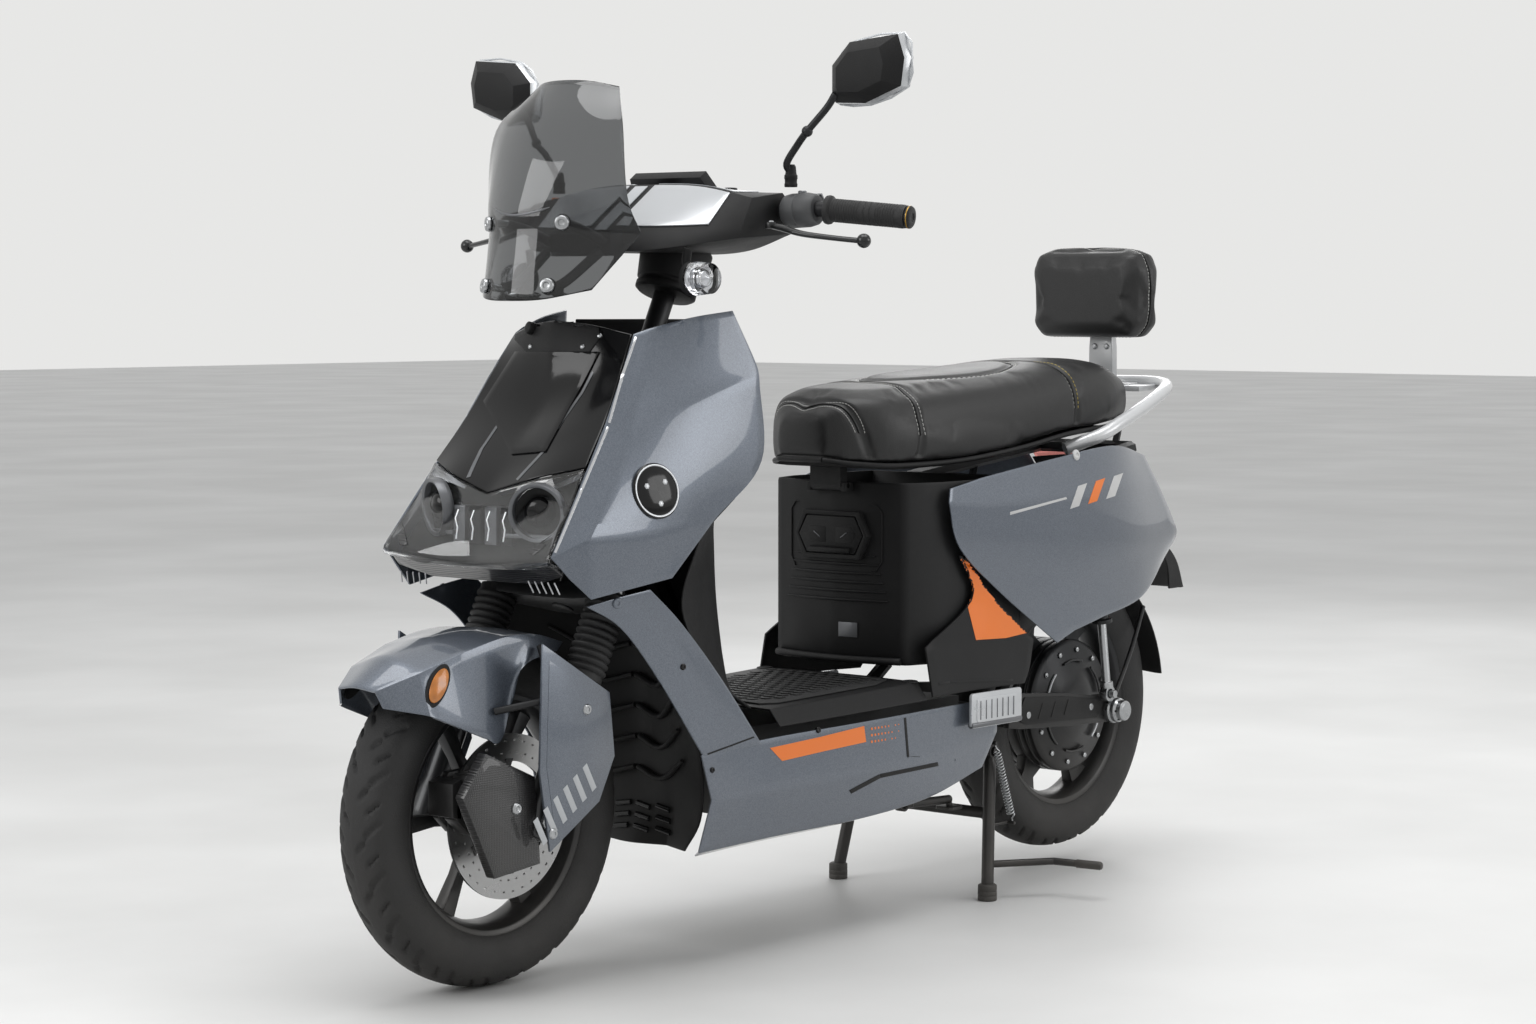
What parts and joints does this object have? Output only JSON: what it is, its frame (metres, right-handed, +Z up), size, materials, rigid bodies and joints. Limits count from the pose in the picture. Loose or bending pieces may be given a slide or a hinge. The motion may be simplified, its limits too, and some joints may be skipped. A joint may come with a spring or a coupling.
{
  "type": "seated electric scooter",
  "caption": "Step-through electric scooter with a long padded seat, backrest, floorboard, leg shield, windshield and mirrors, resting on its centre stand.",
  "frame": {"origin": "on the ground, in the middle of the length and of the width", "axes": "+X towards the front wheel, +Y to the rider's left, +Z up"},
  "size_m": [1.8626, 0.836, 1.28],
  "materials": {
    "frame_black": "satin black paint",
    "battery_case": "moulded case",
    "slate_paint": "slate blue metallic paint",
    "gloss_black": "gloss black",
    "matt_black": "fine grained black",
    "clear_lens": "clear lens over lamps",
    "tail_lens": "pale red lens",
    "silver_paint": "silver white paint",
    "silver_plastic": "silver white paint",
    "seat_leather": "sewn black artificial leather",
    "alloy": "cast and brushed",
    "fork_alloy": "satin black",
    "wheel_alloy": "satin black",
    "bright_steel": "bright steel",
    "soft_rubber": "ribbed rubber",
    "tyre_rubber": "tread with slanted grooves",
    "smoked_clear": "lightly smoked clear sheet",
    "lever_black": "satin black"
  },
  "bodies": {
    "frame": {"main_frame": "frame_black", "battery_pack": "battery_case", "fairing_left": "slate_paint", "fairing_right": "slate_paint", "nose_panel": "gloss_black", "headlight": "clear_lens", "inner_leg_shield": "matt_black", "lower_grille": "matt_black", "lower_panel_left": "matt_black", "lower_panel_right": "matt_black", "floorboard": "matt_black", "side_cover_left": "matt_black", "side_cover_right": "matt_black", "seat_box": "matt_black", "rear_panel_left": "slate_paint", "rear_panel_right": "slate_paint", "tail_light": "tail_lens", "plate_holder": "matt_black", "grab_rail": "silver_paint", "backrest_pad": "seat_leather", "shock_body_left": "frame_black", "shock_body_right": "frame_black"},
    "charge_flap": {"charge_flap": "matt_black"},
    "seat": {"seat_cushion": "seat_leather", "seat_pan": "matt_black"},
    "footpeg_left": {"footpeg_left": "alloy"},
    "footpeg_right": {"footpeg_right": "alloy"},
    "steering": {"steering_stem": "frame_black", "handlebar": "frame_black", "handlebar_cover": "silver_plastic", "windshield": "smoked_clear", "windshield_bracket": "matt_black", "grip_left": "soft_rubber", "switch_pod_left": "matt_black", "switch_pod_right": "matt_black", "turn_signal_left": "clear_lens", "turn_signal_right": "clear_lens", "fork_boot_left": "soft_rubber", "fork_boot_right": "soft_rubber"},
    "throttle_grip": {"throttle_grip": "soft_rubber"},
    "brake_lever_left": {"brake_lever_left": "lever_black"},
    "brake_lever_right": {"brake_lever_right": "lever_black"},
    "mirror_left": {"mirror_left": "gloss_black"},
    "mirror_right": {"mirror_right": "gloss_black"},
    "switch_button_left": {"switch_button_left": "silver_plastic"},
    "switch_button_right": {"switch_button_right": "silver_plastic"},
    "fork_lower": {"fork_legs": "fork_alloy", "front_fender": "slate_paint", "brake_caliper": "alloy"},
    "front_wheel": {"front_tyre": "tyre_rubber", "front_rim": "wheel_alloy", "brake_disc": "bright_steel"},
    "swingarm": {"swingarm": "frame_black"},
    "rear_wheel": {"rear_tyre": "tyre_rubber", "rear_hub_motor": "wheel_alloy"},
    "shock_rod_left": {"shock_rod_left": "bright_steel"},
    "shock_rod_right": {"shock_rod_right": "bright_steel"},
    "centre_stand": {"centre_stand": "frame_black"},
    "stand_spring": {"stand_spring": "bright_steel"},
    "side_stand": {"side_stand": "frame_black"}
  },
  "joints": [
    {"name": "steering", "type": "hinge", "parent": "frame", "child": "steering", "pos_m": [0.53938, 0, 0.5], "axis": [-0.4384, 0, 0.8988], "range_deg": [-26, 26]},
    {"name": "fork_slide", "type": "slide", "parent": "steering", "child": "fork_lower", "axis": [-0.4384, 0, 0.8988], "range_m": [0, 0.06], "stiffness_N_per_m": 9000, "springref_m": -0.06},
    {"name": "front_wheel_spin", "type": "hinge", "parent": "fork_lower", "child": "front_wheel", "pos_m": [0.69825, 0, 0.2335], "axis": [0, 1, 0], "continuous": true},
    {"name": "swingarm_pivot", "type": "hinge", "parent": "frame", "child": "swingarm", "pos_m": [-0.30175, 0, 0.27], "axis": [0, 1, 0], "range_deg": [0, 11], "stiffness_Nm_per_rad": 1200, "springref_deg": -4.58},
    {"name": "rear_wheel_spin", "type": "hinge", "parent": "swingarm", "child": "rear_wheel", "pos_m": [-0.60175, 0, 0.2585], "axis": [0, 1, 0], "continuous": true},
    {"name": "shock_slide_left", "type": "slide", "parent": "frame", "child": "shock_rod_left", "axis": [0.1429, 0, 0.9897], "range_m": [0, 0.054]},
    {"name": "shock_slide_right", "type": "slide", "parent": "frame", "child": "shock_rod_right", "axis": [0.1429, 0, 0.9897], "range_m": [0, 0.054]},
    {"name": "seat_hinge", "type": "hinge", "parent": "frame", "child": "seat", "pos_m": [-0.03415, 0, 0.643], "axis": [0, 1, 0], "range_deg": [0, 65]},
    {"name": "charge_flap_hinge", "type": "hinge", "parent": "frame", "child": "charge_flap", "pos_m": [-0.03725, 0, 0.5444], "axis": [0, 1, 0], "range_deg": [0, 100]},
    {"name": "footpeg_fold_left", "type": "hinge", "parent": "frame", "child": "footpeg_left", "pos_m": [-0.21575, 0.1805, 0.2813], "axis": [1, 0, 0], "range_deg": [-88, 0]},
    {"name": "footpeg_fold_right", "type": "hinge", "parent": "frame", "child": "footpeg_right", "pos_m": [-0.21575, -0.1805, 0.2813], "axis": [1, 0, 0], "range_deg": [0, 88]},
    {"name": "throttle_turn", "type": "hinge", "parent": "steering", "child": "throttle_grip", "pos_m": [0.30532, -0.265, 1.045], "axis": [-0.2789, -0.9558, -0.0932], "range_deg": [0, 70], "stiffness_Nm_per_rad": 0.25, "springref_deg": -17.19},
    {"name": "brake_lever_pull_left", "type": "hinge", "parent": "steering", "child": "brake_lever_left", "pos_m": [0.36529, 0.228, 1.022], "axis": [0, 0, 1], "range_deg": [0, 14], "stiffness_Nm_per_rad": 3, "springref_deg": -6.88},
    {"name": "brake_lever_pull_right", "type": "hinge", "parent": "steering", "child": "brake_lever_right", "pos_m": [0.36529, -0.228, 1.022], "axis": [0, 0, 1], "range_deg": [-14, 0], "stiffness_Nm_per_rad": 3, "springref_deg": 6.88},
    {"name": "mirror_turn_left", "type": "hinge", "parent": "steering", "child": "mirror_left", "pos_m": [0.32644, 0.222, 1.075], "axis": [0, 0, 1], "range_deg": [-28, 28]},
    {"name": "mirror_turn_right", "type": "hinge", "parent": "steering", "child": "mirror_right", "pos_m": [0.32644, -0.222, 1.075], "axis": [0, 0, 1], "range_deg": [-28, 28]},
    {"name": "button_press_left", "type": "slide", "parent": "steering", "child": "switch_button_left", "axis": [0, 0, -1], "range_m": [0, 0.0025], "stiffness_N_per_m": 300, "springref_m": -0.002},
    {"name": "button_press_right", "type": "slide", "parent": "steering", "child": "switch_button_right", "axis": [0, 0, -1], "range_m": [0, 0.0025], "stiffness_N_per_m": 300, "springref_m": -0.002},
    {"name": "centre_stand_fold", "type": "hinge", "parent": "frame", "child": "centre_stand", "pos_m": [-0.27655, 0, 0.225], "axis": [0, 1, 0], "range_deg": [0, 70]},
    {"name": "stand_spring_swing", "type": "hinge", "parent": "frame", "child": "stand_spring", "pos_m": [-0.25755, 0.148, 0.241], "axis": [0, 1, 0], "range_deg": [0, 58.6]},
    {"name": "side_stand_fold", "type": "hinge", "parent": "frame", "child": "side_stand", "pos_m": [-0.09175, 0.096, 0.16], "axis": [0, 1, 0], "range_deg": [-95, 0]}
  ],
  "couplings": [
    {"joint": "shock_slide_left", "follows": "swingarm_pivot", "m_per_rad": 0.27535},
    {"joint": "shock_slide_right", "follows": "swingarm_pivot", "m_per_rad": 0.27535},
    {"joint": "stand_spring_swing", "follows": "centre_stand_fold", "ratio": 0.8301}
  ]
}
